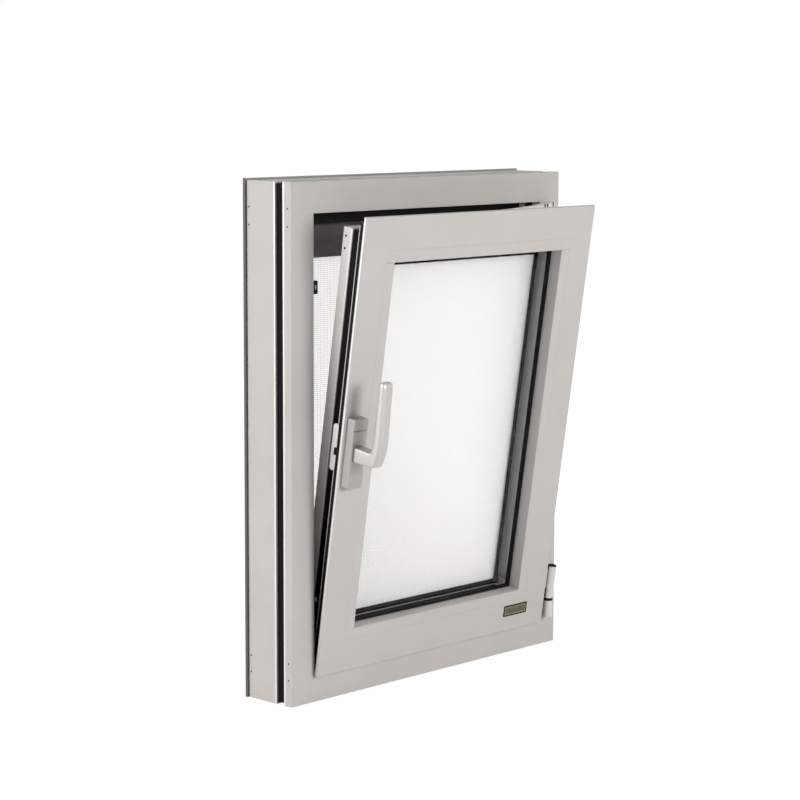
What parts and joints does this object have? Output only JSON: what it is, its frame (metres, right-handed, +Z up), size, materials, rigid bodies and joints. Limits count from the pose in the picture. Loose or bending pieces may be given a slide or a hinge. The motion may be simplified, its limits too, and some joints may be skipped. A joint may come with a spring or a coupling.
{
  "type": "tilt and turn window",
  "caption": "Thermally broken aluminium tilt and turn window with its sash tilted in, double glazing, lever handle and insect screen.",
  "frame": {"origin": "centre of the sill's flat underside, midway along the depth of the frame's outer profile", "axes": "+Z up, +X to the right seen from the room, +Y towards the outside"},
  "size_m": [0.628, 0.2424, 0.803],
  "materials": {
    "grey_coat": "satin powder coat, warm light grey",
    "dark_coat": "satin powder coat, dark grey",
    "silver_coat": "satin silver-grey coat",
    "polyamide": "black glass-filled polyamide",
    "seal_rubber": "black extruded rubber",
    "black_plastic": "black moulded plastic",
    "black_hardware": "black coated hardware",
    "bright_steel": "satin nickel plate",
    "spacer_metal": "mill finish, perforated",
    "screen_mesh": "fine woven screen, pale grey",
    "clear_glass": "clear float glass",
    "satin_glass": "white satin-etched float glass"
  },
  "bodies": {
    "window": {"bead_bottom": "grey_coat", "bead_left": "grey_coat", "bead_right": "grey_coat", "bead_top": "grey_coat", "centre_seal": "seal_rubber", "drive_rails": "black_hardware", "flange_head": "grey_coat", "flange_left": "dark_coat", "flange_right": "dark_coat", "frame_breaks": "polyamide", "frame_inner_head": "grey_coat", "frame_inner_left": "grey_coat", "frame_inner_right": "grey_coat", "frame_inner_sill": "grey_coat", "frame_outer_head": "grey_coat", "frame_outer_left": "grey_coat", "frame_outer_right": "grey_coat", "frame_outer_sill": "grey_coat", "glass_inner": "clear_glass", "glass_outer": "satin_glass", "glass_spacer": "spacer_metal", "glazing_seal_inner": "seal_rubber", "glazing_seal_outer": "seal_rubber", "handle_base": "silver_coat", "hinge_lower": "silver_coat", "hinge_ring": "black_hardware", "hinge_upper": "silver_coat", "insect_screen": "screen_mesh", "keepers": "black_hardware", "lock_faceplate": "bright_steel", "overlap_seal": "seal_rubber", "sash_breaks": "polyamide", "sash_inner_bottom": "grey_coat", "sash_inner_left": "grey_coat", "sash_inner_right": "grey_coat", "sash_inner_top": "grey_coat", "sash_outer_bottom": "grey_coat", "sash_outer_left": "grey_coat", "sash_outer_right": "grey_coat", "sash_outer_top": "grey_coat", "screen_cassette": "dark_coat", "screen_guides": "grey_coat", "screen_rail": "grey_coat", "setting_blocks": "black_plastic", "stay_arm": "bright_steel", "stay_bearing": "silver_coat"},
    "handle": {"handle_lever": "silver_coat"}
  },
  "joints": [
    {"name": "handle_turn", "type": "hinge", "parent": "window", "child": "handle", "pos_m": [-0.2462, -0.12641, 0.39529], "axis": [0, 0.989, 0.1478], "range_deg": [0, 180]}
  ]
}
